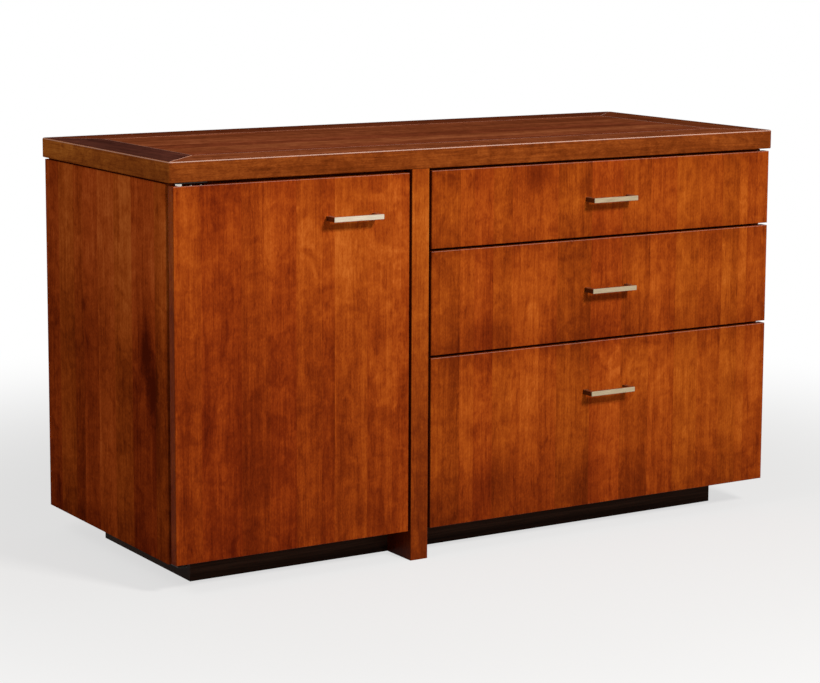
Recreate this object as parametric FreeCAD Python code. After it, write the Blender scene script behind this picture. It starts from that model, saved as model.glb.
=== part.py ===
"""Credenza with one pivot-hung door, three drawers and a set-back plinth.

Millimetres. The origin lies on the floor, under the middle of the whole piece with its pulls.
+X runs to the right as one faces the piece, +Y to its back and +Z up.
"""
import FreeCAD, Part
import os

from FreeCAD import Vector

# Overall sizes
WIDTH = 1372.0              # over the top, 54 in
DEPTH = 559.0               # over the top, 22 in
HEIGHT = 787.0              # floor to the top's surface, 31 in

# Top: a field panel tongued into a mitred border
TOP_T = 38.0
BORDER_W = 92.0
FIELD_T = 25.0
TONGUE_T = 8.0
TONGUE_L = 8.0
GROOVE_CLEARANCE = 0.2      # room past the tongue's edge in its groove
JOINT_CHAMFER = 1.4         # each side of the fine V along the joints
TOP_EDGE_R = 3.0
UNDER_EDGE_R = 2.0
CORNER_R = 6.0

# Case
SIDE_OVERHANG = 6.0         # top past the case sides
BACK_OVERHANG = 2.0
PANEL_T = 19.0
HOUSING_DEPTH = 6.0         # bottom boards let into the sides
BACK_T = 6.0
REBATE_W = 10.0             # back panels let into the sides' rear edges
RAIL_W = 70.0               # rails under the top
EDGE_R = 1.5                # softened edges of case and fronts
SHADOW_LINE_H = 4.0         # dark line between the top and the outer sides
SHADOW_LINE_DEPTH = 8.0
DOOR_BAY_W = 477.5
STILE_W = 38.0              # the two inner sides behind the stile share this width

# Plinth
PLINTH_H = 55.0
PLINTH_T = 18.0
PLINTH_SIDE_INSET = 71.0
PLINTH_FRONT_INSET = 85.0   # behind the faces of door and drawers
PLINTH_BACK_INSET = 102.0
BLOCK_LEG = 45.0            # glue blocks in the plinth's corners
BLOCK_H = 40.0

# Door and drawer fronts
FRONT_T = 20.0
FRONT_SETOFF = 9.0          # room between the fronts and the case for the door's swing
FRONT_INSET = 1.5           # fronts inside the case's outer faces
FRONT_GAP = 5.5             # beside the stile
BOTTOM_REVEAL = 3.0
DOOR_TOP_GAP = 6.4
DRAWER_TOP_GAP = 5.0
DRAWER_GAP = 5.0
TOP_FRONT_H = 148.0
MIDDLE_FRONT_H = 199.0      # the bottom front takes what is left

# Square bar pulls
PULL_L = 106.0
PULL_H = 9.5
PULL_REACH = 30.0
PULL_BAR_T = 8.0
PULL_LEG_W = 9.0
PULL_CHAMFER = 0.8
DOOR_PULL_DROP = 74.5       # door's top edge to the bar's middle
DOOR_PULL_EDGE = 73.0       # door's free edge to the bar's end

# Pivot hinge
PIVOT_EDGE = 15.0           # pin to the door's hinge edge
PIVOT_BACK = 8.0            # pin to the door's face
PIVOT_PIN_D = 6.0
PIVOT_PIN_CLEARANCE = 0.05  # on the radius
PIVOT_PIN_DEPTH = 12.0      # into the door
PIVOT_PIN_END_ROOM = 1.0
PIVOT_DISC_D = 13.0
PIVOT_DISC_PLAY = 0.3
LEAF_T = 2.5
LEAF_W = 11.0
LEAF_L = 50.0               # between the centres of the leaf's round ends
PLATE_T = 2.0
PLATE_W = 13.0
BRACKET_W = 18.0
BRACKET_REACH = 40.0        # under the case, behind its front edge

# Magnetic catch
CATCH_L = 46.0
CATCH_H = 14.0
CATCH_SEAT = 15.0           # under the rail
CATCH_EDGE = 60.0           # catch's middle to the door's free edge
POLE_T = 2.0
POLE_SPREAD = 5.0
POLE_PROUD = 1.0
STRIKE_L = 40.0
STRIKE_H = 12.0
STRIKE_T = 1.5
STRIKE_PLAY = 0.4

# Shelf and its pins
SHELF_SIDE_GAP = 1.5
SHELF_SETBACK = 20.0
SHELF_BACK_GAP = 4.0
PIN_D = 5.0
PIN_CLEARANCE = 0.05        # on the radius
PIN_IN = 10.0
PIN_OUT = 9.0
PIN_FLAT = 1.5              # flat that the shelf rests on, above the pin's axis
PIN_PITCH = 32.0
PIN_HOLES = 4               # in each row
PIN_SHELF_HOLE = 2          # the hole in use, counted from the lowest as 0
PIN_FIRST_RISE = 262.0      # lowest hole above the bay's floor
PIN_ROW_INSET = 60.0        # rows in from the shelf's front and back edges

# Drawer boxes
BOX_T = 12.5
BOX_RISE = 22.0             # box above its front's lower edge
BOX_DROP = 30.0             # box below its front's upper edge
BOX_BACK_ROOM = 61.0
BOX_BOTTOM_T = 6.0
BOX_BOTTOM_RISE = 10.0
BOX_GROOVE = 5.0
TAIL_PITCH = 34.0
PIN_TIP_W = 8.0             # dovetail pin at its narrow end
TAIL_SLOPE = 7.0            # one in seven

# Full-extension slides
SLIDE_W = 12.7              # room beside the box
SLIDE_H = 45.0
SLIDE_WALL = 1.3
SLIDE_PLAY = 0.4            # between nested members, up and down
SLIDE_STEP = 1.6            # between nested members, sideways
SLIDE_SETBACK = 3.0
SLIDE_END_ROOM = 8.0        # box past the slide's rear end
SLIDE_RISE = 42.0           # slide's middle above the box's lower edge

# File rails in the bottom drawer
FILE_RAIL_T = 2.5
FILE_RAIL_H = 16.0
FILE_RAIL_DROP = 8.0
FILE_RAIL_TAB = 22.0
FILE_RAIL_FRONT = 40.0      # behind the box's front board
FILE_RAIL_SPAN = 325.0      # between rails, for letter folders

# Planes worked out from the sizes above
FACE_Y = (PULL_REACH - DEPTH) / 2
BACK_Y = FACE_Y + DEPTH
LEFT_X = -WIDTH / 2 + SIDE_OVERHANG
RIGHT_X = WIDTH / 2 - SIDE_OVERHANG
CASE_Y0 = FACE_Y + FRONT_T + FRONT_SETOFF
CASE_Y1 = BACK_Y - BACK_OVERHANG
CASE_Z0 = PLINTH_H
CASE_Z1 = HEIGHT - TOP_T
INSIDE_Y1 = CASE_Y1 - BACK_T
FLOOR_Z = CASE_Z0 + PANEL_T
RAIL_Z = CASE_Z1 - PANEL_T
DOOR_BAY_X0 = LEFT_X + PANEL_T
STILE_X0 = DOOR_BAY_X0 + DOOR_BAY_W
STILE_X1 = STILE_X0 + STILE_W
STILE_MID_X = (STILE_X0 + STILE_X1) / 2
DRAWER_BAY_X1 = RIGHT_X - PANEL_T
FRONT_BACK_Y = FACE_Y + FRONT_T
FRONT_Z0 = CASE_Z0 + BOTTOM_REVEAL

DOOR_X0 = LEFT_X + FRONT_INSET
DOOR_X1 = STILE_X0 - FRONT_GAP
DOOR_Z1 = CASE_Z1 - DOOR_TOP_GAP
DRAWER_X0 = STILE_X1 + FRONT_GAP
DRAWER_X1 = RIGHT_X - FRONT_INSET
PIVOT_X = DOOR_X0 + PIVOT_EDGE
PIVOT_Y = FACE_Y + PIVOT_BACK

SHELF_X0 = DOOR_BAY_X0 + SHELF_SIDE_GAP
SHELF_X1 = STILE_X0 - SHELF_SIDE_GAP
SHELF_Y0 = CASE_Y0 + SHELF_SETBACK
SHELF_Y1 = INSIDE_Y1 - SHELF_BACK_GAP
PIN_ROWS_Y = (SHELF_Y0 + PIN_ROW_INSET, SHELF_Y1 - PIN_ROW_INSET)
PIN_HOLES_Z = [FLOOR_Z + PIN_FIRST_RISE + k * PIN_PITCH for k in range(PIN_HOLES)]
SHELF_PIN_Z = PIN_HOLES_Z[PIN_SHELF_HOLE]
HOLE_R = PIN_D / 2

BOX_X0 = STILE_X1 + SLIDE_W
BOX_X1 = DRAWER_BAY_X1 - SLIDE_W
BOX_Y0 = FRONT_BACK_Y
BOX_Y1 = INSIDE_Y1 - BOX_BACK_ROOM
SLIDE_Y0 = CASE_Y0 + SLIDE_SETBACK
SLIDE_Y1 = BOX_Y1 - SLIDE_END_ROOM

Z_UP = Vector(0, 0, 1)
nodes = {}


def block(x0, x1, y0, y1, z0, z1):
    """Rectangular board between two opposite corners."""
    return Part.makeBox(x1 - x0, y1 - y0, z1 - z0, Vector(x0, y0, z0))


def corners(x0, x1, y0, y1, z):
    """Corners of a level rectangle, counter-clockwise from the front left."""
    return [Vector(x0, y0, z), Vector(x1, y0, z), Vector(x1, y1, z), Vector(x0, y1, z)]


def prism(points, travel):
    """Closed outline of straight lines, carried along a vector."""
    return Part.Face(Part.makePolygon(points + points[:1])).extrude(travel)


def stadium(a, b, radius, z0, z1):
    """Flat strap with half-round ends centred on the points a and b of the XY plane."""
    along = Vector(b[0] - a[0], b[1] - a[1], 0).normalize() * radius
    across = Vector(-along.y, along.x, 0)
    start = Vector(a[0], a[1], z0)
    end = Vector(b[0], b[1], z0)
    edges = [
        Part.LineSegment(start + across, end + across),
        Part.Arc(end + across, end + along, end - across),
        Part.LineSegment(end - across, start - across),
        Part.Arc(start - across, start - along, start + across),
    ]
    return Part.Face(Part.Wire([e.toShape() for e in edges])).extrude(Z_UP * (z1 - z0))


def post(x, y, diameter, z0, z1):
    """Upright round bar, pin or bore."""
    return Part.makeCylinder(diameter / 2, z1 - z0, Vector(x, y, z0))


def soften(shape, radius, chosen):
    """Round the edges whose middle point and direction are chosen."""
    edges = [e for e in shape.Edges if chosen(e.CenterOfMass, e.tangentAt(e.FirstParameter))]
    return shape.makeFillet(radius, edges)


def at(value, plane):
    """True where a coordinate lies on a plane."""
    return abs(value - plane) < 1e-6


def export(name, shape):
    """Keep a piece under its name and write it out."""
    nodes[name] = shape
    shape.exportStep("parts/" + name + ".step")


def make_top():
    """Rounded slab, parted along the mitres into four border boards round a tongued field panel."""
    x0, x1, y0, y1 = -WIDTH / 2, WIDTH / 2, FACE_Y, BACK_Y
    slab = block(x0, x1, y0, y1, CASE_Z1, HEIGHT)
    slab = soften(slab, CORNER_R, lambda c, t: abs(t.z) > 0.9)
    slab = soften(slab, TOP_EDGE_R, lambda c, t: at(c.z, HEIGHT))
    slab = soften(slab, UNDER_EDGE_R, lambda c, t: at(c.z, CASE_Z1))

    field_x0, field_x1 = x0 + BORDER_W, x1 - BORDER_W
    field_y0, field_y1 = y0 + BORDER_W, y1 - BORDER_W
    field = block(field_x0, field_x1, field_y0, field_y1, HEIGHT - FIELD_T, HEIGHT)
    field = field.makeChamfer(JOINT_CHAMFER, [e for e in field.Edges if at(e.CenterOfMass.z, HEIGHT)])
    tongue_z = HEIGHT - (FIELD_T + TONGUE_T) / 2
    tongue = block(field_x0 - TONGUE_L, field_x1 + TONGUE_L, field_y0 - TONGUE_L, field_y1 + TONGUE_L,
                   tongue_z, tongue_z + TONGUE_T)
    reach = TONGUE_L + GROOVE_CLEARANCE
    groove = block(field_x0 - reach, field_x1 + reach, field_y0 - reach, field_y1 + reach,
                   tongue_z, tongue_z + TONGUE_T)
    export("top_center_panel", field.fuse(tongue).removeSplitter())

    outer = corners(x0, x1, y0, y1, CASE_Z1)
    inner = corners(field_x0, field_x1, field_y0, field_y1, CASE_Z1)
    for k, name in enumerate(("front", "right", "back", "left")):
        n = (k + 1) % 4
        board = prism([outer[k], outer[n], inner[n], inner[k]], Z_UP * TOP_T)
        outside = (outer[k] + outer[n]) * 0.5
        joints = [e for e in board.Edges if at(e.CenterOfMass.z, HEIGHT)
                  and not (at(e.CenterOfMass.x, outside.x) and at(e.CenterOfMass.y, outside.y))]
        board = board.makeChamfer(JOINT_CHAMFER, joints)
        export("top_frame_" + name, board.common(slab).cut(groove))


def pin_holes(x_face, inward):
    """Rows of blind shelf-pin holes in a bay side; inward points from the wood to the bay."""
    holes = []
    for y in PIN_ROWS_Y:
        for z in PIN_HOLES_Z:
            holes.append(Part.makeCylinder(HOLE_R, PIN_IN, Vector(x_face, y, z), Vector(-inward, 0, 0)))
    return holes


def case_side(x0, x1, inward, shadow_line=False):
    """Upright case side with its housing for the bottom board and its rebate for the back.

    An outer side also has a shadow line: a small rebate under the top, along its outer face.
    """
    side = block(x0, x1, CASE_Y0, CASE_Y1, CASE_Z0, CASE_Z1)
    face, outer_face = (x1, x0) if inward > 0 else (x0, x1)
    housing = sorted((face, face - inward * HOUSING_DEPTH))
    rebate = sorted((face, face - inward * REBATE_W))
    side = soften(side, EDGE_R, lambda c, t: at(c.y, CASE_Y0) and abs(t.z) > 0.9)
    side = side.cut(block(housing[0], housing[1], CASE_Y0, INSIDE_Y1, CASE_Z0, FLOOR_Z))
    side = side.cut(block(rebate[0], rebate[1], INSIDE_Y1, CASE_Y1, CASE_Z0, CASE_Z1))
    if shadow_line:
        line = sorted((outer_face, outer_face + inward * SHADOW_LINE_DEPTH))
        side = side.cut(block(line[0], line[1], CASE_Y0, CASE_Y1, CASE_Z1 - SHADOW_LINE_H, CASE_Z1))
    return side


def make_case():
    """Two bays side by side: sides, bottoms, backs, rails under the top, and the stile."""
    left = case_side(LEFT_X, DOOR_BAY_X0, 1, shadow_line=True)
    door_inner = case_side(STILE_X0, STILE_MID_X, -1)
    for hole in pin_holes(DOOR_BAY_X0, 1):
        left = left.cut(hole)
    for hole in pin_holes(STILE_X0, -1):
        door_inner = door_inner.cut(hole)
    export("left_side_panel", left)
    export("door_bay_inner_side", door_inner)
    export("drawer_bay_inner_side", case_side(STILE_MID_X, STILE_X1, 1))
    export("right_side_panel", case_side(DRAWER_BAY_X1, RIGHT_X, -1, shadow_line=True))

    rails = []
    for bay, x0, x1 in (("door_bay", DOOR_BAY_X0, STILE_X0), ("drawer_bay", STILE_X1, DRAWER_BAY_X1)):
        export(bay + "_bottom", block(x0 - HOUSING_DEPTH, x1 + HOUSING_DEPTH, CASE_Y0, INSIDE_Y1,
                                      CASE_Z0, FLOOR_Z))
        export(bay + "_back", block(x0 - REBATE_W, x1 + REBATE_W, INSIDE_Y1, CASE_Y1, CASE_Z0, CASE_Z1))
        rails.append(block(x0, x1, CASE_Y0, CASE_Y0 + RAIL_W, RAIL_Z, CASE_Z1))
        rails.append(block(x0, x1, INSIDE_Y1 - RAIL_W, INSIDE_Y1, RAIL_Z, CASE_Z1))
    export("top_fixing_rails", Part.makeCompound(rails))

    foot_y = FACE_Y + PLINTH_FRONT_INSET
    outline = [Vector(STILE_X0, FACE_Y, 0), Vector(STILE_X0, foot_y, 0), Vector(STILE_X0, foot_y, CASE_Z0),
               Vector(STILE_X0, CASE_Y0, CASE_Z0), Vector(STILE_X0, CASE_Y0, CASE_Z1),
               Vector(STILE_X0, FACE_Y, CASE_Z1)]
    stile = prism(outline, Vector(STILE_W, 0, 0))
    export("center_stile", soften(stile, EDGE_R, lambda c, t: at(c.y, FACE_Y) and abs(t.z) > 0.9))


def make_plinth():
    """Four boards under the case, set back on every side, with a glue block in each corner."""
    x0, x1 = LEFT_X + PLINTH_SIDE_INSET, RIGHT_X - PLINTH_SIDE_INSET
    y0, y1 = FACE_Y + PLINTH_FRONT_INSET, CASE_Y1 - PLINTH_BACK_INSET
    in_x0, in_x1, in_y0, in_y1 = x0 + PLINTH_T, x1 - PLINTH_T, y0 + PLINTH_T, y1 - PLINTH_T
    export("plinth_front", block(x0, x1, y0, in_y0, 0, PLINTH_H))
    export("plinth_back", block(x0, x1, in_y1, y1, 0, PLINTH_H))
    export("plinth_left", block(x0, in_x0, in_y0, in_y1, 0, PLINTH_H))
    export("plinth_right", block(in_x1, x1, in_y0, in_y1, 0, PLINTH_H))
    blocks = []
    for x, dx in ((in_x0, 1), (in_x1, -1)):
        for y, dy in ((in_y0, 1), (in_y1, -1)):
            corner = Vector(x, y, PLINTH_H - BLOCK_H)
            outline = [corner, corner + Vector(dx * BLOCK_LEG, 0, 0), corner + Vector(0, dy * BLOCK_LEG, 0)]
            blocks.append(prism(outline, Z_UP * BLOCK_H))
    export("plinth_corner_blocks", Part.makeCompound(blocks))


def shelf_pin(x_face, inward, y):
    """Turned pin with a flat on the part that carries the shelf."""
    axis = Vector(inward, 0, 0)
    radius = HOLE_R - PIN_CLEARANCE
    pin = Part.makeCylinder(radius, PIN_IN + PIN_OUT, Vector(x_face - inward * PIN_IN, y, SHELF_PIN_Z), axis)
    flat_x = sorted((x_face + inward * SHELF_SIDE_GAP, x_face + inward * (PIN_OUT + PIN_IN)))
    over = block(flat_x[0], flat_x[1], y - PIN_D, y + PIN_D, SHELF_PIN_Z + PIN_FLAT, SHELF_PIN_Z + PIN_D)
    return pin.cut(over)


def make_shelf():
    """Loose shelf on four pins."""
    shelf_z = SHELF_PIN_Z + PIN_FLAT
    shelf = block(SHELF_X0, SHELF_X1, SHELF_Y0, SHELF_Y1, shelf_z, shelf_z + PANEL_T)
    export("adjustable_shelf", soften(shelf, EDGE_R, lambda c, t: at(c.y, SHELF_Y0) and abs(t.x) > 0.9))
    pins = [shelf_pin(x, inward, y) for x, inward in ((DOOR_BAY_X0, 1), (STILE_X0, -1)) for y in PIN_ROWS_Y]
    export("shelf_pins", Part.makeCompound(pins))


def make_pull(name, x_mid, z_mid):
    """Square bar on two square legs, with a fine chamfer along its edges."""
    x0, x1 = x_mid - PULL_L / 2, x_mid + PULL_L / 2
    front_y = FACE_Y - PULL_REACH
    bar_y = front_y + PULL_BAR_T
    z0 = z_mid - PULL_H / 2
    in_x0, in_x1 = x0 + PULL_LEG_W, x1 - PULL_LEG_W
    outline = [(x0, FACE_Y), (x0, front_y), (x1, front_y), (x1, FACE_Y),
               (in_x1, FACE_Y), (in_x1, bar_y), (in_x0, bar_y), (in_x0, FACE_Y)]
    pull = prism([Vector(x, y, z0) for x, y in outline], Z_UP * PULL_H)
    free_edges = [e for e in pull.Edges if not at(e.CenterOfMass.y, FACE_Y)]
    export(name, pull.makeChamfer(PULL_CHAMFER, free_edges))


def make_hinge():
    """Pins fixed to the case turn in leaves let into the door's top and bottom edges."""
    centre = (PIVOT_X, PIVOT_Y)
    leaf_end = (PIVOT_X + LEAF_L, PIVOT_Y)
    bore_d = PIVOT_PIN_D + 2 * PIVOT_PIN_CLEARANCE
    plate_z = CASE_Z1 - PLATE_T

    top_leaf = stadium(centre, leaf_end, LEAF_W / 2, DOOR_Z1 - LEAF_T, DOOR_Z1)
    top_leaf = top_leaf.fuse(post(*centre, PIVOT_DISC_D, DOOR_Z1, plate_z - PIVOT_DISC_PLAY))
    export("door_top_pivot_leaf", top_leaf.cut(post(*centre, bore_d, DOOR_Z1 - LEAF_T, plate_z)))
    plate = stadium(centre, leaf_end, PLATE_W / 2, plate_z, CASE_Z1)
    export("top_pivot_plate", plate.fuse(post(*centre, PIVOT_PIN_D, DOOR_Z1 - PIVOT_PIN_DEPTH, plate_z)))

    bottom_leaf = stadium(centre, leaf_end, LEAF_W / 2, FRONT_Z0, FRONT_Z0 + LEAF_T)
    export("door_bottom_pivot_leaf", bottom_leaf.cut(post(*centre, bore_d, FRONT_Z0, FRONT_Z0 + LEAF_T)))
    bracket_end = (PIVOT_X, CASE_Y0 + BRACKET_REACH)
    bracket = stadium(centre, bracket_end, BRACKET_W / 2, CASE_Z0 - PLATE_T, CASE_Z0)
    bracket = bracket.fuse(post(*centre, PIVOT_DISC_D, CASE_Z0, FRONT_Z0 - PIVOT_DISC_PLAY))
    bottom_pin = post(*centre, PIVOT_PIN_D, CASE_Z0, FRONT_Z0 + PIVOT_PIN_DEPTH)
    export("bottom_pivot_bracket", bracket.fuse(bottom_pin))


def make_door():
    """Door slab with mortises and bores for its pivot leaves, its pull and the catch."""
    door = block(DOOR_X0, DOOR_X1, FACE_Y, FRONT_BACK_Y, FRONT_Z0, DOOR_Z1)
    door = soften(door, EDGE_R, lambda c, t: at(c.y, FACE_Y))
    leaf_end = (PIVOT_X + LEAF_L, PIVOT_Y)
    bore_d = PIVOT_PIN_D + 2 * PIVOT_PIN_END_ROOM
    bore_l = PIVOT_PIN_DEPTH + PIVOT_PIN_END_ROOM
    door = door.cut(stadium((PIVOT_X, PIVOT_Y), leaf_end, LEAF_W / 2, DOOR_Z1 - LEAF_T, DOOR_Z1))
    door = door.cut(stadium((PIVOT_X, PIVOT_Y), leaf_end, LEAF_W / 2, FRONT_Z0, FRONT_Z0 + LEAF_T))
    door = door.cut(post(PIVOT_X, PIVOT_Y, bore_d, DOOR_Z1 - bore_l, DOOR_Z1))
    door = door.cut(post(PIVOT_X, PIVOT_Y, bore_d, FRONT_Z0, FRONT_Z0 + bore_l))
    export("door_panel", door)
    make_pull("door_pull", DOOR_X1 - DOOR_PULL_EDGE - PULL_L / 2, DOOR_Z1 - DOOR_PULL_DROP)

    catch_x = DOOR_X1 - CATCH_EDGE
    catch_z = RAIL_Z - CATCH_H / 2
    pole_y = FRONT_BACK_Y + STRIKE_T + STRIKE_PLAY
    strike = block(catch_x - STRIKE_L / 2, catch_x + STRIKE_L / 2, FRONT_BACK_Y, FRONT_BACK_Y + STRIKE_T,
                   catch_z - STRIKE_H / 2, catch_z + STRIKE_H / 2)
    export("door_catch_strike", soften(strike, STRIKE_H / 4, lambda c, t: abs(t.y) > 0.9))
    catch = block(catch_x - CATCH_L / 2, catch_x + CATCH_L / 2, pole_y + POLE_PROUD, CASE_Y0 + CATCH_SEAT,
                  RAIL_Z - CATCH_H, RAIL_Z)
    catch = soften(catch, CATCH_H / 7, lambda c, t: abs(t.z) > 0.9)
    for offset in (-POLE_SPREAD / 2, POLE_SPREAD / 2):
        z = catch_z + offset
        pole = block(catch_x - STRIKE_L / 4, catch_x + STRIKE_L / 4, pole_y, CASE_Y0,
                     z - POLE_T / 2, z + POLE_T / 2)
        catch = catch.fuse(pole)
    export("magnetic_catch", catch.removeSplitter())


def dovetail_side(x0, z0, z1):
    """Box side whose ends are cut to tails: each tail flares from the base line to the board's end."""
    count = max(2, round((z1 - z0) / TAIL_PITCH))
    pitch = (z1 - z0) / count
    wide = (pitch - PIN_TIP_W) / 2
    narrow = wide - BOX_T / TAIL_SLOPE
    front_base, back_base = BOX_Y0 + BOX_T, BOX_Y1 - BOX_T
    front_end, back_end = [], []
    for k in range(count):
        z = z0 + (k + 0.5) * pitch
        for points, base, end in ((front_end, front_base, BOX_Y0), (back_end, back_base, BOX_Y1)):
            points += [(base, z - narrow), (end, z - wide), (end, z + wide), (base, z + narrow)]
    outline = [(front_base, z0)] + front_end + [(front_base, z1), (back_base, z1)]
    outline += back_end[::-1] + [(back_base, z0)]
    return prism([Vector(x0, y, z) for y, z in outline], Vector(BOX_T, 0, 0))


def make_drawer(label, front_z0, front_z1):
    """Show front with its pull, and a dovetailed box whose bottom sits in grooves."""
    front = block(DRAWER_X0, DRAWER_X1, FACE_Y, FRONT_BACK_Y, front_z0, front_z1)
    export(label + "_front", soften(front, EDGE_R, lambda c, t: at(c.y, FACE_Y)))
    pull_drop = min(front_z1 - front_z0, MIDDLE_FRONT_H) / 2
    make_pull(label + "_pull", (DRAWER_X0 + DRAWER_X1) / 2, front_z1 - pull_drop)

    z0, z1 = front_z0 + BOX_RISE, front_z1 - BOX_DROP
    left, right = dovetail_side(BOX_X0, z0, z1), dovetail_side(BOX_X1 - BOX_T, z0, z1)
    groove_in = BOX_T - BOX_GROOVE
    bottom_z = z0 + BOX_BOTTOM_RISE
    bottom = block(BOX_X0 + groove_in, BOX_X1 - groove_in, BOX_Y0 + groove_in, BOX_Y1 - groove_in,
                   bottom_z, bottom_z + BOX_BOTTOM_T)
    for name, y0, y1 in (("_box_front", BOX_Y0, BOX_Y0 + BOX_T), ("_box_back", BOX_Y1 - BOX_T, BOX_Y1)):
        board = block(BOX_X0, BOX_X1, y0, y1, z0, z1)
        export(label + name, board.cut(left).cut(right).cut(bottom))
    export(label + "_box_left", left.cut(bottom))
    export(label + "_box_right", right.cut(bottom))
    export(label + "_box_bottom", bottom)


def channel(x_web, x_lip, z_mid, half_h):
    """Rolled steel channel: a web with a flange along each edge, as long as the slide."""
    inner = x_web + (SLIDE_WALL if x_lip > x_web else -SLIDE_WALL)
    low, high = z_mid - half_h, z_mid + half_h
    outline = [(x_web, low), (x_lip, low), (x_lip, low + SLIDE_WALL), (inner, low + SLIDE_WALL),
               (inner, high - SLIDE_WALL), (x_lip, high - SLIDE_WALL), (x_lip, high), (x_web, high)]
    return prism([Vector(x, SLIDE_Y0, z) for x, z in outline], Vector(0, SLIDE_Y1 - SLIDE_Y0, 0))


def make_slides(label, box_z0):
    """Nested channels on both sides of a box; returns the members that stay on the case."""
    z = box_z0 + SLIDE_RISE
    step = SLIDE_WALL + SLIDE_STEP
    nest = SLIDE_WALL + SLIDE_PLAY
    cabinet, middle, drawer = [], [], []
    for face, s in ((STILE_X1, 1), (DRAWER_BAY_X1, -1)):
        lip = face + s * (SLIDE_W - SLIDE_STEP)
        cabinet.append(channel(face, lip, z, SLIDE_H / 2))
        middle.append(channel(face + s * step, lip, z, SLIDE_H / 2 - nest))
        drawer.append(channel(face + s * SLIDE_W, face + s * 2 * step, z, SLIDE_H / 2 - 2 * nest))
    export(label + "_slide_middle_members", Part.makeCompound(middle))
    export(label + "_slide_drawer_members", Part.makeCompound(drawer))
    return cabinet


def make_drawers():
    """Top, middle and bottom drawers, and the file rails across the bottom one."""
    top_z = CASE_Z1 - DRAWER_TOP_GAP
    middle_z = top_z - TOP_FRONT_H - DRAWER_GAP
    bottom_z = middle_z - MIDDLE_FRONT_H - DRAWER_GAP
    cabinet_members = []
    for label, z0, z1 in (("top_drawer", top_z - TOP_FRONT_H, top_z),
                          ("middle_drawer", middle_z - MIDDLE_FRONT_H, middle_z),
                          ("bottom_drawer", FRONT_Z0, bottom_z)):
        make_drawer(label, z0, z1)
        cabinet_members += make_slides(label, z0 + BOX_RISE)
    export("slide_cabinet_members", Part.makeCompound(cabinet_members))

    x0, x1 = BOX_X0 + BOX_T, BOX_X1 - BOX_T
    rail_z1 = bottom_z - BOX_DROP - FILE_RAIL_DROP
    rail_z0 = rail_z1 - FILE_RAIL_H
    rails = []
    for k in range(2):
        y = BOX_Y0 + BOX_T + FILE_RAIL_FRONT + k * FILE_RAIL_SPAN
        outline = [(x0, y), (x1, y), (x1, y + FILE_RAIL_TAB), (x1 - FILE_RAIL_T, y + FILE_RAIL_TAB),
                   (x1 - FILE_RAIL_T, y + FILE_RAIL_T), (x0 + FILE_RAIL_T, y + FILE_RAIL_T),
                   (x0 + FILE_RAIL_T, y + FILE_RAIL_TAB), (x0, y + FILE_RAIL_TAB)]
        rails.append(prism([Vector(px, py, rail_z0) for px, py in outline], Z_UP * FILE_RAIL_H))
    export("bottom_drawer_file_rails", Part.makeCompound(rails))


os.makedirs("parts", exist_ok=True)
make_top()
make_case()
make_plinth()
make_shelf()
make_hinge()
make_door()
make_drawers()
for name, shape in nodes.items():
    if not shape.isValid():
        print("not a valid solid:", name)
print(len(nodes), "nodes,", sum(len(s.Solids) for s in nodes.values()), "solids")
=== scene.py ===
"""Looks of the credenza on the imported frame.

Stained cherry veneer, brushed nickel pulls and a black plinth, then screw heads and stop buttons, and last
the floor, the light and the camera of the photograph.
"""

import math

import bmesh
import bpy
import numpy as np
from mathutils import Matrix, Vector


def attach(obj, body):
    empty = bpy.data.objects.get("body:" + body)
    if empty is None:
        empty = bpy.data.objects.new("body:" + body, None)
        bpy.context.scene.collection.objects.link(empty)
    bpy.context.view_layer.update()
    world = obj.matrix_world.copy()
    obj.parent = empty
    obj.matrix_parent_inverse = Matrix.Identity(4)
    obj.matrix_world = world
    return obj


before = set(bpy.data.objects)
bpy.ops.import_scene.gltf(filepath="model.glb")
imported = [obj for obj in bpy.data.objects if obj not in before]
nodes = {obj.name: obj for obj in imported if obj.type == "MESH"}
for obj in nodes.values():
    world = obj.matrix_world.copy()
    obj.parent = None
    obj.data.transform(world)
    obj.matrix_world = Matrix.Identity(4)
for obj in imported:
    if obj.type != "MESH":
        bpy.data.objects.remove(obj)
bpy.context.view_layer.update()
scene = bpy.context.scene

MM = 0.001
WHITE = (1.0, 1.0, 1.0, 1.0)
PAINTED_ARRIS_HIGHLIGHT = "E2BFAE"  # painted highlight on the eased arrises that tilt half upwards

# Leaves of veneer on the door, stile and drawers: left edge in mm, lightness and brownness, each 0 to 1.
FRONT_LEAVES = (
    (-690, 0.57, 0.1), (-627, 0.50, 0.0), (-549, 0.52, 0.1), (-490, 0.52, 0.0), (-433, 0.56, 0.15),
    (-379, 0.55, 0.1), (-352, 0.63, 0.2), (-285, 0.61, 0.15), (-230, 0.62, 0.1), (-186, 0.61, 0.4),
    (-143, 0.47, 0.35), (-77, 0.60, 0.2), (-46, 0.50, 0.1), (-4, 0.53, 0.3), (38, 0.55, 0.2),
    (62, 0.58, 0.2), (103, 0.54, 0.2), (150, 0.47, 0.4), (229, 0.57, 0.1), (302, 0.50, 0.3),
    (377, 0.57, 0.2), (440, 0.61, 0.4), (498, 0.56, 0.3), (560, 0.59, 0.4), (600, 0.64, 0.3),
    (620, 0.55, 0.2),
)
# Leaves on the case sides, from front to back.
SIDE_LEAVES = (
    (-300, 0.59, 0.5), (-190, 0.56, 0.2), (-96, 0.67, 0.5), (-20, 0.74, 0.3), (52, 0.63, 0.2),
    (118, 0.55, 0.3), (160, 0.65, 0.5), (230, 0.58, 0.2),
)
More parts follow.
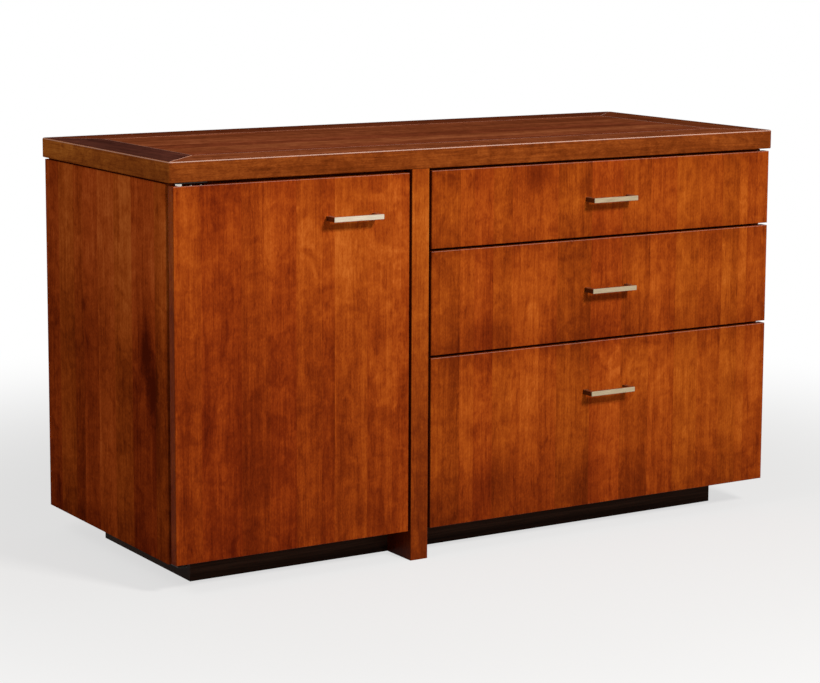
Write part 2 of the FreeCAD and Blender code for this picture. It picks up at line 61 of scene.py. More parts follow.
# Leaves on the top, from front to back, and on its two short rails, from left to right.
TOP_LEAVES = (
    (-300, 0.53, 0.4), (-178, 0.43, 0.0), (-150, 0.49, 0.2), (-110, 0.58, 0.4), (-42, 0.46, 0.1),
    (30, 0.57, 0.3), (104, 0.47, 0.3), (166, 0.55, 0.2), (208, 0.33, 0.1),
)
RAIL_LEAVES = ((-700, 0.52, 0.3), (-640, 0.50, 0.2), (0, 0.36, 0.2), (636, 0.40, 0.4))
# Dark patches in the veneer: place across and up, half width and half height, all in mm, and depth of tone.
# A patch of less than no depth is a light one.
DOOR_PATCHES = (
    (-255, 436, 18, 30, 0.20), (-353, 204, 20, 55, 0.07), (-294, 110, 36, 26, 0.10),
    (-661, 162, 18, 34, 0.20), (-510, 217, 34, 50, 0.10), (-228, 380, 26, 80, -0.14),
    # The broad light patch high on the door's right is a painted highlight.
    (-340, 590, 84, 76, -0.11), (-232, 712, 34, 30, -0.10),
)
DRAWER_PATCHES = (
    (103, 724, 30, 28, 0.24), (-42, 719, 17, 20, 0.18), (-11, 428, 42, 26, 0.14),
    (-41, 235, 16, 16, 0.20), (399, 224, 9, 32, 0.16), (7, 136, 46, 40, 0.14),
    (613, 266, 26, 24, 0.20), (224, 110, 32, 40, 0.10), (-112, 700, 30, 36, -0.10),
    (330, 340, 56, 44, -0.12),
)
SIDE_PATCHES = (
    (-150, 431, 22, 52, 0.36), (-179, 360, 19, 56, 0.42), (-115, 266, 11, 26, 0.22),
    (119, 481, 10, 14, 0.26), (108, 404, 12, 24, 0.18), (-191, 259, 15, 90, 0.20),
)
# Painted shade and light up a board: height in mm and depth of tone; less than no depth is lighter. Fronts
# take painted shade towards their upper and lower edges, the door and stile at the foot too, the stile a
# painted highlight high up, and the sides painted light high up and painted shade lower down.
DOOR_SHADE = (
    (58, 0.20), (160, 0.15), (297, 0.18), (470, 0.065), (612, -0.045), (700, 0.015), (743, 0.105),
)
DRAWER_SHADE = (
    (58, 0.19), (120, 0.13), (170, 0.04), (297, -0.055), (345, 0.0), (387, 0.125),
    (392, 0.15), (445, 0.03), (505, -0.03), (550, 0.025), (591, 0.105),
    (596, 0.10), (625, 0.02), (655, -0.02), (690, 0.03), (744, 0.085),
)
STILE_SHADE = (
    (0, 0.32), (130, 0.28), (340, 0.05), (560, 0.03), (630, -0.13), (690, -0.11), (742, 0.07),
)
SIDE_SHADE = (
    (58, 0.26), (130, 0.14), (430, 0.14), (605, -0.09), (660, -0.055), (749, -0.04),
)
SHADE_TOP = 800.0  # height in mm at which the shading ramps end

# Spots in the veneer: width and length in mm, detail, twist, and weight in the tone. Real pores and specks
# are 0.1 to 0.5 mm wide, too fine to show in the render, so they are drawn as coarse as they need to show.
VENEER_SPOTS = {
    "figure": (52.0, 300.0, 2.0, 0.4, 0.50),
    "curl": (30.0, 30.0, 2.0, 1.0, 0.44),
    "pores": (2.2, 70.0, 2.0, 0.2, 0.30),
    "specks": (2.4, 5.0, 1.0, 0.0, 0.32),
    "lines": (8.0, 380.0, 3.0, 0.4, 0.34),
}
STREAK_SPOTS = (11.0, 64.0, 3.0, 1.4)  # short dark streaks: width, length, detail and twist
STREAK_WEIGHT = -0.12
RING_TURN = 75.0  # turn of the growth lines' sine wave over the range of the figure
RING_WEIGHT = -0.06
LEAF_SHIFT = 41.0  # how far the spots move on as a leaf's tone goes from 0 to 1
RAGGED = -2.4  # how far the curls pull a patch's rim about
USUAL_SUM = 0.94  # what all the spots usually add to a tone, taken off again
STAIN_PLACES = (0.10, 0.32, 0.50, 0.68, 0.92)  # tones of a stain's five colours
RED_HUE = 0.495  # hue of a leaf with no brownness
BROWN_HUE = 0.013  # what full brownness adds to the hue


def linear(hex_colour):
    """An sRGB hex colour as linear red, green, blue and alpha."""
    parts = np.array([int(hex_colour[i:i + 2], 16) for i in (0, 2, 4)]) / 255.0
    parts = np.where(parts <= 0.04045, parts / 12.92, ((parts + 0.055) / 1.055) ** 2.4)
    return (*parts.tolist(), 1.0)


def add(tree, kind, inputs=None, stops=None, **settings):
    """Adds one node with its settings, inputs and ramp stops.

    An input that is a socket is linked, and any other is a value. A stop's colour may be a hex colour.
    """
    node = tree.nodes.new("ShaderNode" + kind)
    for name, value in settings.items():
        setattr(node, name, value)
    for name, value in (inputs or {}).items():
        if isinstance(value, bpy.types.NodeSocket):
            tree.links.new(value, node.inputs[name])
        else:
            node.inputs[name].default_value = value
    if stops:
        ramp = node.color_ramp.elements
        while len(ramp) < len(stops):
            ramp.new(1.0)
        for element, (place, colour) in zip(ramp, stops):
            element.position = place
            element.color = linear(colour) if isinstance(colour, str) else colour
    return node


def new_material(name):
    """An empty material with its shader: returns the material, its node tree and the Principled node."""
    material = bpy.data.materials.new(name)
    material.use_nodes = True
    tree = material.node_tree
    return material, tree, tree.nodes["Principled BSDF"]


def grain(tree, place, along, width, length, detail, twist=0.0, shift=None):
    """Noise of spots width by length in mm, the long way along one axis; a shift moves it on."""
    scale = [1.0 / (width * MM)] * 3
    scale["XYZ".index(along)] = 1.0 / (length * MM)
    stretched = add(tree, "Mapping", {"Vector": place, "Scale": scale}).outputs["Vector"]
    inputs = {"Vector": stretched, "Scale": 1.0, "Detail": detail, "Distortion": twist}
    if shift is None:
        return add(tree, "TexNoise", inputs).outputs["Fac"]
    return add(tree, "TexNoise", inputs | {"W": shift}, noise_dimensions="4D").outputs["Fac"]


def deepened(tree, colour, facing, value, hue=0.5):
    """A colour with its hue turned, and with its value scaled on faces square to the axis of facing."""
    square = add(tree, "Math", {0: facing}, operation="ABSOLUTE").outputs["Value"]
    depth = add(tree, "MapRange", {
        "Value": square, "From Min": 0.6, "From Max": 0.9, "To Min": 1.0, "To Max": value})
    deep = add(tree, "HueSaturation", {"Hue": hue, "Value": depth.outputs["Result"], "Color": colour})
    return deep.outputs["Color"]


def veneer(name, across, along, leaves, colours, above=None, patches=(), shade=(), **looks):
    """Stained and lacquered cherry veneer, laid in narrow leaves that run one way.

    The eye sees leaves 40 to 90 mm wide that differ in tone and hue, faint arched growth lines, cloudy
    figure, small curls, fine pores along the leaf, dark and light patches and a satin lacquer. A painted
    highlight lies along the eased arrises where a face tilts half upwards. Faces that lie upwards may take
    colours of their own, which paint sheen and reflection; a front or tall board takes painted shade and
    light up its height, and faces that look across the leaves take painted shade.
    Elsewhere the lacquer's gloss is held near none, because white surroundings would veil the stain with
    grey.
    """
    looks = {"film": 0.4, "broad": 1.0, "specular": 0.0, "edges": 1.0} | looks
    material, tree, shader = new_material(name)
    coordinates = add(tree, "TexCoord").outputs
    place = coordinates["Object"]
    axes = add(tree, "SeparateXYZ", {"Vector": place}).outputs
    facing = add(tree, "SeparateXYZ", {"Vector": coordinates["Normal"]}).outputs

    # The leaves are a stepped ramp, with a leaf's tone in red and its brownness in green.
    first, last = leaves[0][0] * MM, -leaves[0][0] * MM
    run = add(tree, "MapRange", {"Value": axes[across], "From Min": first, "From Max": last})
    stops = [((x * MM - first) / (last - first), (tone, brown, 0.0, 1.0)) for x, tone, brown in leaves]
    steps = add(tree, "ValToRGB", {"Fac": run.outputs["Result"]}, stops)
    steps.color_ramp.interpolation = "CONSTANT"
    leaf = add(tree, "SeparateColor", {"Color": steps.outputs["Color"]}).outputs
    shift = add(tree, "Math", {0: leaf["Red"], 1: LEAF_SHIFT}, operation="MULTIPLY").outputs["Value"]

    # Spots of several sizes, growth lines that follow the figure, and short dark streaks.
    spots = {}
    for kind, (width, length, detail, twist, _) in VENEER_SPOTS.items():
        spots[kind] = grain(tree, place, along, width * looks["broad"], length, detail, twist, shift)
    turn = add(tree, "Math", {0: spots["figure"], 1: RING_TURN}, operation="MULTIPLY").outputs["Value"]
    wave = add(tree, "Math", {0: turn}, operation="SINE").outputs["Value"]
    rings = add(tree, "MapRange", {"Value": wave, "From Min": 0.45, "From Max": 1.0}).outputs["Result"]
    dashes = grain(tree, place, along, *STREAK_SPOTS, shift)
    streaks = add(tree, "MapRange", {"Value": dashes, "From Min": 0.60, "From Max": 0.74})
    weights = [(spots[kind], row[-1]) for kind, row in VENEER_SPOTS.items()]
    weights += [(rings, RING_WEIGHT), (streaks.outputs["Result"], STREAK_WEIGHT)]

    # A patch is 1 within a soft rim that the curls make ragged, and 0 outside it.
    for middle, up, half_width, half_height, deep in patches:
        scale, moved = [0.0] * 3, [0.0] * 3
        for axis, centre, half in ((across, middle, half_width), (along, up, half_height)):
            scale["XYZ".index(axis)] = 1.0 / (half * MM)
            moved["XYZ".index(axis)] = -centre / half
        spot = add(tree, "Mapping", {"Vector": place, "Location": moved, "Scale": scale})
        away = add(tree, "VectorMath", {0: spot.outputs["Vector"]}, operation="LENGTH").outputs["Value"]
        rim = add(tree, "Math", {0: spots["curl"], 1: RAGGED, 2: away}, operation="MULTIPLY_ADD")
        patch = add(tree, "MapRange", {"Value": rim.outputs["Value"], "From Min": 0.2, "From Max": -1.0})
        weights.append((patch.outputs["Result"], -deep))

    # The painted shade and light are a ramp up the board, raised by its lightest depth,
    # because a ramp holds nothing below 0.
    lightest = min((depth for _, depth in shade), default=0.0)
    if shade:
        height = add(tree, "MapRange", {"Value": axes["Z"], "From Max": SHADE_TOP * MM})
        stops = [(z / SHADE_TOP, (*[depth - lightest] * 3, 1.0)) for z, depth in shade]
        shaded = add(tree, "ValToRGB", {"Fac": height.outputs["Result"]}, stops)
        weights.append((shaded.outputs["Color"], -1.0))

    # The tone picks the stain, and on faces that lie upwards the colours for above: painted sheen and
    # reflection.
    tone = leaf["Red"]
    for part, weight in weights:
        tone = add(tree, "Math", {0: part, 1: weight, 2: tone}, operation="MULTIPLY_ADD").outputs["Value"]
    tone = add(tree, "Math", {0: tone, 1: USUAL_SUM + lightest}, operation="SUBTRACT").outputs["Value"]
    colour = add(tree, "ValToRGB", {"Fac": tone}, list(zip(STAIN_PLACES, colours))).outputs["Color"]
    if above:
        painted_above = add(tree, "ValToRGB", {"Fac": tone}, list(zip(STAIN_PLACES, above))).outputs["Color"]
        flat = add(tree, "MapRange", {"Value": facing["Z"], "From Min": 0.90, "From Max": 0.99})
        painted_above_mix = add(tree, "Mix", {"Factor": flat.outputs["Result"], 6: colour, 7: painted_above}, data_type="RGBA")
        colour = painted_above_mix.outputs[2]
    # Hue turns with the leaf's brownness, and faces that look across the leaves take painted shade, as deep
    # as edges asks.
    hue = add(tree, "Math", {0: leaf["Green"], 1: BROWN_HUE, 2: RED_HUE}, operation="MULTIPLY_ADD")
    colour = deepened(tree, colour, facing[across], looks["edges"], hue.outputs["Value"])

    # A painted highlight lies where a face tilts half upwards: 1 less the square of its rise, times its
    # rise.
    square = add(tree, "Math", {0: facing["Z"], 1: facing["Z"]}, operation="MULTIPLY").outputs["Value"]
    aside = add(tree, "Math", {0: 1.0, 1: square}, operation="SUBTRACT").outputs["Value"]
    tilt = add(tree, "Math", {0: aside, 1: facing["Z"]}, operation="MULTIPLY").outputs["Value"]
    highlight_mask = add(tree, "MapRange", {
        "Value": tilt, "From Min": 0.20, "From Max": 0.38, "To Max": looks["film"]}).outputs["Result"]
    highlighted = add(tree, "Mix", {"Factor": highlight_mask, 6: colour, 7: linear(PAINTED_ARRIS_HIGHLIGHT)}, data_type="RGBA")
    tree.links.new(highlighted.outputs[2], shader.inputs["Base Color"])
    gloss = add(tree, "MapRange", {"Value": spots["pores"], "To Min": 0.34, "To Max": 0.46})
    tree.links.new(gloss.outputs["Result"], shader.inputs["Roughness"])
    ripple = add(tree, "Bump", {"Height": spots["pores"], "Strength": 0.05, "Distance": 0.6 * MM})
    tree.links.new(ripple.outputs["Normal"], shader.inputs["Normal"])
    shader.inputs["Specular IOR Level"].default_value = looks["specular"]
    return material


def plain_wood(name, along, colours, grain_width, roughness, sheen=0.08):
    """Solid wood with one run of grain.

    The eye sees long soft bands, fine lines along the board, darker end grain where a joint shows it, and
    an even, low sheen. Real lines are about 0.3 mm wide, too fine to show, so they are drawn coarser.
    """
    material, tree, shader = new_material(name)
    coordinates = add(tree, "TexCoord").outputs
    place = coordinates["Object"]
    length = grain_width * 45.0
    wider = 9.0  # how many times a band is wider and longer than a line
    lines = grain(tree, place, along, grain_width, length, 3.0, 0.4)
    bands = grain(tree, place, along, grain_width * wider, length * wider, 2.0, 0.7)
    both = add(tree, "Math", {0: lines, 1: 0.5, 2: bands}, operation="MULTIPLY_ADD").outputs["Value"]
    tone = add(tree, "Math", {0: both, 1: 0.25}, operation="SUBTRACT").outputs["Value"]
    stain = add(tree, "ValToRGB", {"Fac": tone}, list(zip((0.30, 0.50, 0.70), colours))).outputs["Color"]
    facing = add(tree, "SeparateXYZ", {"Vector": coordinates["Normal"]}).outputs[along]
    tree.links.new(deepened(tree, stain, facing, 0.72), shader.inputs["Base Color"])
    ripple = add(tree, "Bump", {"Height": lines, "Strength": 0.12, "Distance": 0.6 * MM})
    tree.links.new(ripple.outputs["Normal"], shader.inputs["Normal"])
    shader.inputs["Roughness"].default_value = roughness
    shader.inputs["Specular IOR Level"].default_value = sheen
    return material


def metal(name, colours, spot, roughness, brushed=0.0, cheeks=1.0):
    """Plated or brushed metal: cloudy bright plating, and fine lines along X where it was brushed.

    The eye sees a soft bright reflection, drawn out across the brushing, and small changes of sheen. Faces
    that look along X take painted shade, as deep as cheeks asks. Real brush marks are under 0.1 mm wide,
    too fine to show, so they are drawn coarser.
    """
    material, tree, shader = new_material(name)
    coordinates = add(tree, "TexCoord").outputs
    length = spot * 60.0 if brushed else spot
    marks = grain(tree, coordinates["Object"], "X", spot, length, 3.0)
    tint = add(tree, "ValToRGB", {"Fac": marks}, list(zip((0.35, 0.65), colours))).outputs["Color"]
    # Faces that look along X take painted shade, as deep as cheeks asks.
    facing = add(tree, "SeparateXYZ", {"Vector": coordinates["Normal"]}).outputs["X"]
    tree.links.new(deepened(tree, tint, facing, cheeks), shader.inputs["Base Color"])
    gloss = add(tree, "MapRange", {"Value": marks, "To Min": roughness - 0.06, "To Max": roughness + 0.08})
    tree.links.new(gloss.outputs["Result"], shader.inputs["Roughness"])
    if brushed:
        ripple = add(tree, "Bump", {"Height": marks, "Strength": brushed, "Distance": 0.4 * MM})
        tree.links.new(ripple.outputs["Normal"], shader.inputs["Normal"])
    shader.inputs["Metallic"].default_value = 1.0
    return material


def moulded(name, colours, spot, roughness, detail=3.0):
    """Moulded plastic or pressed board: the eye sees an even mottle, or clouded fibres, and a dull skin."""
    material, tree, shader = new_material(name)
    place = add(tree, "TexCoord").outputs["Object"]
    mottle = add(tree, "TexNoise", {"Vector": place, "Scale": 1.0 / (spot * MM), "Detail": detail})
    tint = add(tree, "ValToRGB", {"Fac": mottle.outputs["Fac"]}, list(zip((0.32, 0.68), colours)))
    tree.links.new(tint.outputs["Color"], shader.inputs["Base Color"])
    skin = add(tree, "Bump", {"Height": mottle.outputs["Fac"], "Strength": 0.15, "Distance": 0.4 * MM})
    tree.links.new(skin.outputs["Normal"], shader.inputs["Normal"])
    shader.inputs["Roughness"].default_value = roughness
    shader.inputs["Specular IOR Level"].default_value = 0.25
    return material


# Stains and woods, and colours that paint light, sheen and reflection, each from dark to light.
FRONT_STAIN = ("541B05", "702A08", "8A3A0C", "A24C12", "BC6421")
SIDE_STAIN = ("4C1705", "6A2509", "86350E", "A14616", "BC5E26")
TOP_STAIN = ("451A06", "5C2609", "73330F", "8B4417", "A45824")
# Lighter colours for the left rail's faces that look aside: painted light.
PAINTED_LIGHT_LEFT_RAIL = ("5A270B", "723611", "8B4818", "A25B20", "BA7432")
PAINTED_SHEEN_ABOVE = ("4E220F", "653017", "7C3D20", "94502E", "AE6842")
# Colours for the top's faces that lie upwards: a duller, redder one that paints sheen, and a darker one for
# the left rail that paints dark reflection.
PAINTED_DARK_REFLECTION_ABOVE = ("341A10", "42221A", "502A20", "603427", "784636")
MAPLE = ("C9A06A", "D8B583", "E3C79B")
BLACK = ("21150F", "302018", "422D23")

# Fronts: glowing red brown leaves, with painted shade towards the upper and lower edge of each front
# and on its returns.
FRONT_LOOKS = {"film": 0.22, "specular": 0.008, "edges": 0.7}
cherry_door = veneer(
    "stained_cherry_door", "X", "Z", FRONT_LEAVES, FRONT_STAIN,
    patches=DOOR_PATCHES, shade=DOOR_SHADE, **FRONT_LOOKS)
cherry_fronts = veneer(
    "stained_cherry_fronts", "X", "Z", FRONT_LEAVES, FRONT_STAIN,
    patches=DRAWER_PATCHES, shade=DRAWER_SHADE, **FRONT_LOOKS)
# Stile: the same red brown with a little more gloss, with painted shade at the foot and on its returns,
# and a painted highlight high up.
cherry_stile = veneer(
    "stained_cherry_stile", "X", "Z", FRONT_LEAVES, FRONT_STAIN,
    shade=STILE_SHADE, specular=0.02, edges=0.38)
# Sides: broad, quiet figure with one long dark streak, painted light high up and painted shade lower down.
cherry_sides = veneer(
    "stained_cherry_sides", "Y", "Z", SIDE_LEAVES, SIDE_STAIN,
    patches=SIDE_PATCHES, shade=SIDE_SHADE, broad=1.5)
# Boards inside: the sides' stain, with the grain from left to right.
cherry_boards = veneer("stained_cherry_boards", "Y", "X", TOP_LEAVES, SIDE_STAIN)
# Top: brown edges, a duller and redder colour above that paints sheen, painted highlights on the eased
# arrises, and a left rail lighter on the faces that look aside, painted light, and darker above, painted
# dark reflection.
cherry_edge = veneer("stained_cherry_top_edge", "Y", "X", TOP_LEAVES, TOP_STAIN, above=PAINTED_SHEEN_ABOVE, film=0.6)
cherry_field = veneer("stained_cherry_top_field", "Y", "X", TOP_LEAVES, TOP_STAIN, above=PAINTED_SHEEN_ABOVE, film=0.28)
cherry_left_rail = veneer("stained_cherry_left_rail", "X", "Y", RAIL_LEAVES, PAINTED_LIGHT_LEFT_RAIL, above=PAINTED_DARK_REFLECTION_ABOVE)
cherry_right_rail = veneer(
    "stained_cherry_right_rail", "X", "Y", RAIL_LEAVES, TOP_STAIN, above=PAINTED_SHEEN_ABOVE, film=0.5)
# Drawer boxes and glue blocks: pale, clean maple.
maple_long = plain_wood("clear_maple_long", "X", MAPLE, 1.6, 0.5)
maple_deep = plain_wood("clear_maple_deep", "Y", MAPLE, 1.6, 0.5)
# Plinth: brown black oak, dull, with a trace of its grain.
black_long = plain_wood("black_stained_oak_long", "X", BLACK, 2.0, 0.55, sheen=0.02)
black_deep = plain_wood("black_stained_oak_deep", "Y", BLACK, 2.0, 0.55, sheen=0.02)
# Pulls: satin nickel brushed along the bar, with painted shade on the cheeks. The drawers' pulls take a
# darker, warmer copy, a painted dimmer reflection, so the door's pull reads whiter.
nickel = metal("brushed_nickel", ("C4B49C", "E8D8C2"), 0.5, 0.30, brushed=0.12, cheeks=0.22)
dimmer_reflection_nickel = metal("brushed_nickel_dimmer_reflection", ("A8967A", "CAB695"), 0.5, 0.32, brushed=0.12, cheeks=0.22)
# Fittings: clouded bluish zinc, brighter warm nickel plate, and oiled black steel.
zinc = metal("zinc_plated_steel", ("AFB4B8", "C1C6C9"), 12.0, 0.34)
plated = metal("nickel_plated_steel", ("C4C0B8", "DAD6CE"), 6.0, 0.22)
dark_steel = metal("oil_blackened_steel", ("1C1A18", "2A2724"), 4.0, 0.5)
# Backs, stop buttons and catch: clouded brown fibre board, dull grey rubber and smooth brown plastic.
hardboard = moulded("stained_hardboard", ("5C2C14", "72391A"), 22.0, 0.7, detail=9.0)
rubber = moulded("grey_stop_rubber", ("B4B2AC", "C2C0BA"), 0.6, 0.5)
brown_plastic = moulded("brown_moulded_plastic", ("3A2418", "46301F"), 0.8, 0.45)

FINISHES = {
    cherry_door: ["door_panel"],
    cherry_fronts: ["top_drawer_front", "middle_drawer_front", "bottom_drawer_front"],
    cherry_stile: ["center_stile"],
    cherry_sides: ["left_side_panel", "right_side_panel", "door_bay_inner_side", "drawer_bay_inner_side"],
    cherry_boards: ["door_bay_bottom", "drawer_bay_bottom", "top_fixing_rails", "adjustable_shelf"],
    cherry_edge: ["top_frame_front"],
    cherry_field: ["top_center_panel", "top_frame_back"],
    cherry_left_rail: ["top_frame_left"],
    cherry_right_rail: ["top_frame_right"],
    black_long: ["plinth_front", "plinth_back"],
    black_deep: ["plinth_left", "plinth_right"],
    hardboard: ["door_bay_back", "drawer_bay_back"],
    nickel: ["door_pull"],
    dimmer_reflection_nickel: [],
    dark_steel: ["top_pivot_plate", "bottom_pivot_bracket", "door_bottom_pivot_leaf"],
    plated: ["door_top_pivot_leaf", "door_catch_strike", "shelf_pins"],
    zinc: ["slide_cabinet_members", "bottom_drawer_file_rails"],
    brown_plastic: ["magnetic_catch"],
    maple_long: ["plinth_corner_blocks"],
    maple_deep: [],
}
for drawer in ("top_drawer", "middle_drawer", "bottom_drawer"):
    FINISHES[dimmer_reflection_nickel] += [f"{drawer}_pull"]
    FINISHES[zinc] += [f"{drawer}_slide_middle_members", f"{drawer}_slide_drawer_members"]
    FINISHES[maple_long] += [f"{drawer}_box_front", f"{drawer}_box_back", f"{drawer}_box_bottom"]
    FINISHES[maple_deep] += [f"{drawer}_box_left", f"{drawer}_box_right"]
for material, names in FINISHES.items():
    for name in names:
        for slot in nodes[name].material_slots:
            slot.material = material

# Screw heads: radius and height in mm.
HEADS = {
    "panel": (3.6, 1.6), "rail": (4.2, 2.0), "catch": (2.4, 1.2), "plate": (2.8, 0.8),
    "bracket": (3.2, 0.9), "slide": (3.6, 1.1), "front": (4.4, 2.4), "strike": (2.2, 0.5),
    "leaf": (2.6, 0.5),
}
STEPS_ROUND = 24  # points round a screw head or a stop button
LEFT, RIGHT, BACK, DOWN, UP = (-1, 0, 0), (1, 0, 0), (0, 1, 0), (0, 0, -1), (0, 0, 1)


def screw_heads(name, places, facing, size, turns, material, body):
    """Pan head screws with a cross recess, as one piece.

    Each head is a disc of rings: height falls with the square of the ring's radius, and where the point is
    within a narrow cross near the middle it drops into the recess. The head is turned about its own axis,
    then laid so that it faces one way.
    """
    radius, height = size
    cross_width, cross_reach = 0.10, 0.62  # shares of the radius
    rim_fall, recess_floor = 0.45, 0.35  # shares of the height
    places = np.asarray(places, float) * MM
    rings = np.concatenate(([0.0], np.linspace(0.12, 1.0, 9), [1.0]))
    angles = np.linspace(0.0, 2.0 * np.pi, STEPS_ROUND, endpoint=False)
    ring, angle = np.meshgrid(rings, angles, indexing="ij")
    dome = height * (1.0 - rim_fall * ring**2)
    cross = np.minimum(np.abs(ring * np.cos(angle)), np.abs(ring * np.sin(angle))) < cross_width
    dome = np.where(cross & (ring < cross_reach), height * recess_floor, dome)
    dome[-1] = 0.0
    turned = angle[None] + np.asarray(turns)[:, None, None]
    x = np.broadcast_to(ring * radius, turned.shape) * np.cos(turned)
    y = np.broadcast_to(ring * radius, turned.shape) * np.sin(turned)
    z = np.broadcast_to(dome, turned.shape)
    normal = np.asarray(facing, float)
    side = np.cross(normal, RIGHT if normal[2] else UP)
    other = np.cross(normal, side)
    points = (x[..., None] * side + y[..., None] * other + z[..., None] * normal) * MM
    points += places[:, None, None, :]
    heads = ring_piece(name, points, material, body)


def stop_buttons(name, places, reach, material, body):
    """Rubber buttons that the fronts close against, as one piece.

    Each is turned about Y: the radius goes from 4 mm at the foot to 3.4 mm near the end, then rounds to a
    point.
    """
    places = np.asarray(places, float) * MM
    out = np.array([0.0, 0.0, 0.80, 0.93, 0.985, 1.0]) * reach
    wide = np.array([0.0, 4.0, 3.4, 3.0, 1.8, 0.0])
    angles = np.linspace(0.0, 2.0 * np.pi, STEPS_ROUND, endpoint=False)
    x = wide[:, None] * np.cos(angles)
    z = wide[:, None] * np.sin(angles)
    y = np.broadcast_to(-out[:, None], x.shape)
    shape = np.stack((x, y, z), axis=-1) * MM
    points = shape[None] + places[:, None, None, :]
    ring_piece(name, points, material, body)


def ring_piece(name, points, material, body):
    """Skins rows of closed rings, for each copy, with quads between neighbours, and adds the piece."""
    count, rows, columns = points.shape[:3]
    index = np.arange(count * rows * columns).reshape(count, rows, columns)
    ahead = np.roll(index, -1, axis=2)
    faces = np.stack((index[:, :-1], index[:, 1:], ahead[:, 1:], ahead[:, :-1]), axis=-1).reshape(-1, 4)
    mesh = bpy.data.meshes.new(name)
    mesh.from_pydata(points.reshape(-1, 3), [], faces.tolist())
    mesh.validate()
    work = bmesh.new()
    work.from_mesh(mesh)
    bmesh.ops.remove_doubles(work, verts=work.verts, dist=1e-6)
    bmesh.ops.recalc_face_normals(work, faces=work.faces)
    work.to_mesh(mesh)
    work.free()
    piece = bpy.data.objects.new(name, mesh)
    scene.collection.objects.link(piece)
    mesh.materials.append(material)
    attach(piece, body)
    return piece


def add_small_pieces():
    """Screw heads and stop buttons, each group on the body that carries it; places are in mm."""
    turn = np.linspace(0.2, 9.0, 64) ** 1.7  # where each screw stopped turning, in radians
    panel_y = 292.5  # outer face of the back panels
    backs = []
    for left, right in ((-666.0, -178.5), (-150.5, 666.0)):
        for z in np.linspace(90.0, 714.0, 5):
            backs += [(left, panel_y, z), (right, panel_y, z)]
        for x in np.linspace(left + 60.0, right - 60.0, round((right - left) / 200.0) + 1):
            backs += [(x, panel_y, 64.0), (x, panel_y, 740.0)]
    screw_heads("back_panel_screws", backs, BACK, HEADS["panel"], turn[:len(backs)], plated, "case")
    rails = [(x, y, 730.0) for x in (-560.0, -330.0, -60.0, 258.0, 575.0) for y in (-200.5, 251.5)]
    screw_heads("top_fixing_screws", rails, DOWN, HEADS["rail"], turn[:10], plated, "case")
    catch = [(-267.5, -229.0, 716.0), (-230.5, -229.0, 716.0)]
    screw_heads("catch_screws", catch, DOWN, HEADS["catch"], turn[:2], plated, "case")
    plate = [(-638.5, -256.5, 747.0), (-618.5, -256.5, 747.0)]
    screw_heads("pivot_plate_screws", plate, DOWN, HEADS["plate"], turn[2:4], plated, "case")
    bracket = [(-663.5, -226.0, 53.0), (-663.5, -206.0, 53.0)]
    screw_heads("pivot_bracket_screws", bracket, DOWN, HEADS["bracket"], turn[4:6], plated, "case")
    for side, x, facing in (("left", -144.2, RIGHT), ("right", 659.7, LEFT)):
        fixed = [(x, y, z) for z in (122.0, 456.0, 660.0) for y in (-205.0, -20.0, 190.0)]
        screw_heads(f"{side}_slide_screws", fixed, facing, HEADS["slide"], turn[:9], plated, "case")

    case_y = -235.5  # front edge of the case, where the stop buttons sit
    corners = (
        (-215.0, 66.0), (-215.0, 736.0), (-115.0, 66.0), (630.0, 66.0), (-115.0, 737.0), (630.0, 737.0),
    )
    stop_buttons("stop_buttons", [(x, case_y, z) for x, z in corners], 8.7, rubber, "case")

    pull = [(-363.5, -244.5, 668.1), (-266.5, -244.5, 668.1)]
    screw_heads("door_pull_screws", pull, BACK, HEADS["front"], turn[:2], zinc, "door")
    strike = [(-265.0, -243.0, 723.0), (-233.0, -243.0, 723.0)]
    screw_heads("strike_screws", strike, BACK, HEADS["strike"], turn[5:7], plated, "door")
    for end, z, facing in (("top", 742.6, UP), ("bottom", 58.0, DOWN)):
        leaf = [(-640.0, -256.5, z), (-620.0, -256.5, z)]
        screw_heads(f"{end}_leaf_screws", leaf, facing, HEADS["leaf"], turn[3:5], plated, "door")

    box_y = -232.0  # inner face of the drawer boxes' fronts
    # Each drawer's pull height, and the lower and upper edge of its box front.
    drawers = (
        ("top_drawer", 670.0, 618.0, 714.0),
        ("middle_drawer", 491.5, 414.0, 561.0),
        ("bottom_drawer", 287.5, 80.0, 357.0),
    )
    for body, pull_z, low, high in drawers:
        fixing = [(x, box_y, pull_z) for x in (220.8, 317.8)]
        fixing += [(x, box_y, z) for x in (-78.0, 593.0) for z in (low + 28.0, high - 22.0)]
        screw_heads(f"{body}_front_screws", fixing, BACK, HEADS["front"], turn[:6], zinc, body)


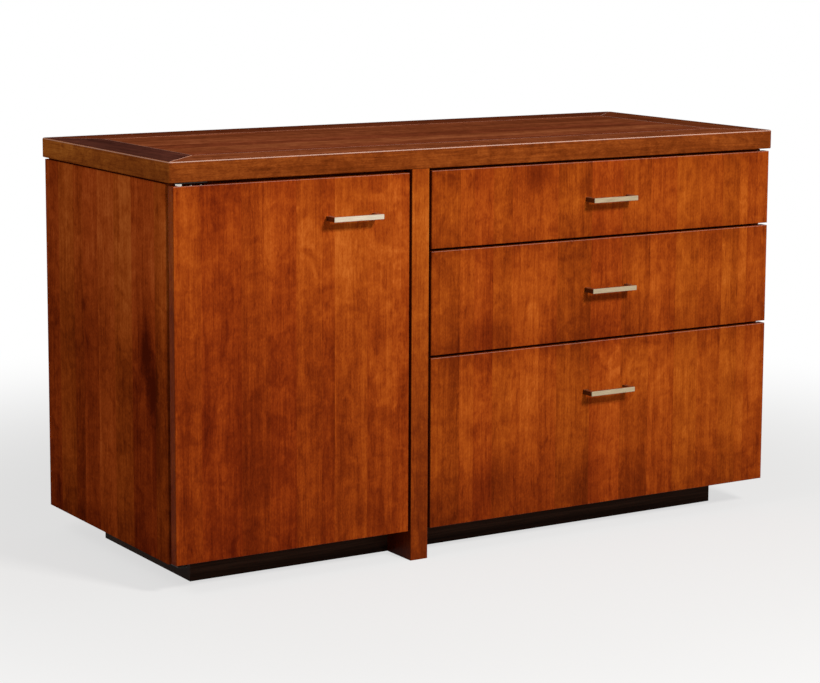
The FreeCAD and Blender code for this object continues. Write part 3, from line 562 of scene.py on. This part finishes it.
def make_floor():
    """A round pale floor under the plinth: dull near the object, where it takes the shadow, white far out.

    The rim is a circle in even steps of angle. From below the floor is clear.
    """
    radius = 40.0  # metres
    steps = 96
    angles = np.linspace(0.0, 2.0 * np.pi, steps, endpoint=False)
    rim = np.stack((radius * np.cos(angles), radius * np.sin(angles), np.zeros_like(angles)), axis=1)
    mesh = bpy.data.meshes.new("floor")
    mesh.from_pydata(rim, [], [list(range(steps))])
    floor = bpy.data.objects.new("floor", mesh)
    scene.collection.objects.link(floor)
    material = bpy.data.materials.new("pale_studio_floor")
    material.use_nodes = True
    tree = material.node_tree
    tree.nodes.clear()
    place = add(tree, "TexCoord").outputs["Object"]
    away = add(tree, "VectorMath", {0: place}, operation="LENGTH").outputs["Value"]
    # The share of white grows from 0.66 at 0.8 m from the middle to 1 at 2.2 m.
    fade = add(
        tree, "MapRange",
        {"Value": away, "From Min": 0.8, "From Max": 2.2, "To Min": 0.66, "To Max": 1.0},
        interpolation_type="SMOOTHSTEP",
    ).outputs["Result"]
    rays = add(tree, "LightPath").outputs
    seen = add(tree, "Math", {0: rays["Is Camera Ray"], 1: rays["Is Glossy Ray"]}, operation="MAXIMUM")
    blend = add(tree, "Math", {0: fade, 1: seen.outputs["Value"]}, operation="MULTIPLY").outputs["Value"]
    dull = add(tree, "BsdfDiffuse", {"Color": linear("CBC9C6")}).outputs["BSDF"]
    white = add(tree, "Emission", {"Color": WHITE, "Strength": 1.0}).outputs["Emission"]
    top = add(tree, "MixShader", {0: blend, 1: dull, 2: white}).outputs["Shader"]
    clear = add(tree, "BsdfTransparent").outputs["BSDF"]
    under = add(tree, "NewGeometry").outputs["Backfacing"]
    both = add(tree, "MixShader", {0: under, 1: top, 2: clear}).outputs["Shader"]
    add(tree, "OutputMaterial", {"Surface": both})
    mesh.materials.append(material)


def make_world():
    """White for what the camera and bright metal see, and a dimmer even light for everything else."""
    world = bpy.data.worlds.new("studio")
    scene.world = world
    world.use_nodes = True
    tree = world.node_tree
    tree.nodes.clear()
    rays = add(tree, "LightPath").outputs
    seen = rays["Is Camera Ray"]
    for kind in ("Is Glossy Ray", "Is Transmission Ray"):
        seen = add(tree, "Math", {0: seen, 1: rays[kind]}, operation="MAXIMUM").outputs["Value"]
    even = add(tree, "Background", {"Color": linear("FFFDFA"), "Strength": 0.28}).outputs["Background"]
    white = add(tree, "Background", {"Color": WHITE, "Strength": 1.0}).outputs["Background"]
    mixed = add(tree, "MixShader", {0: seen, 1: even, 2: white})
    add(tree, "OutputWorld", {"Surface": mixed.outputs["Shader"]})


def soft_box(name, place, aim, width, tall, power):
    """A rectangular studio lamp at a place in metres, turned to shine on a point; power is in watts."""
    lamp = bpy.data.lights.new(name, "AREA")
    lamp.shape = "RECTANGLE"
    lamp.size = width
    lamp.size_y = tall
    lamp.energy = power
    holder = bpy.data.objects.new(name, lamp)
    scene.collection.objects.link(holder)
    holder.location = place
    holder.rotation_euler = (Vector(aim) - Vector(place)).to_track_quat("-Z", "Y").to_euler()


def make_camera():
    """The photograph's camera: low, from the front left, with a long lens and a slight roll."""
    turn, tilt, roll = (math.radians(degrees) for degrees in (31.923, -7.975, 0.261))
    ahead = Vector((math.sin(turn) * math.cos(tilt), math.cos(turn) * math.cos(tilt), math.sin(tilt)))
    right = Vector((math.cos(turn), -math.sin(turn), 0.0))
    up = right.cross(ahead)
    across = right * math.cos(roll) + up * math.sin(roll)
    upright = up * math.cos(roll) - right * math.sin(roll)
    lens = bpy.data.cameras.new("camera")
    lens.lens = 105.17  # mm
    lens.sensor_width = 36.0  # mm
    lens.shift_y = -0.0994  # share of the sensor's width
    camera = bpy.data.objects.new("camera", lens)
    scene.collection.objects.link(camera)
    pose = Matrix((across, upright, -ahead)).transposed().to_4x4()
    pose.translation = (-2.5351, -4.0321, 1.2008)  # metres
    camera.matrix_world = pose
    scene.camera = camera


add_small_pieces()
make_floor()
make_world()
soft_box("key_light", place=(0.46, -2.84, 2.29), aim=(0.0, -0.26, 0.45), width=0.6, tall=0.5, power=95.0)
soft_box("side_fill", place=(-2.2, -0.5, 2.1), aim=(-0.68, 0.05, 0.5), width=1.0, tall=1.0, power=14.5)
make_camera()
scene.view_settings.view_transform = "Standard"
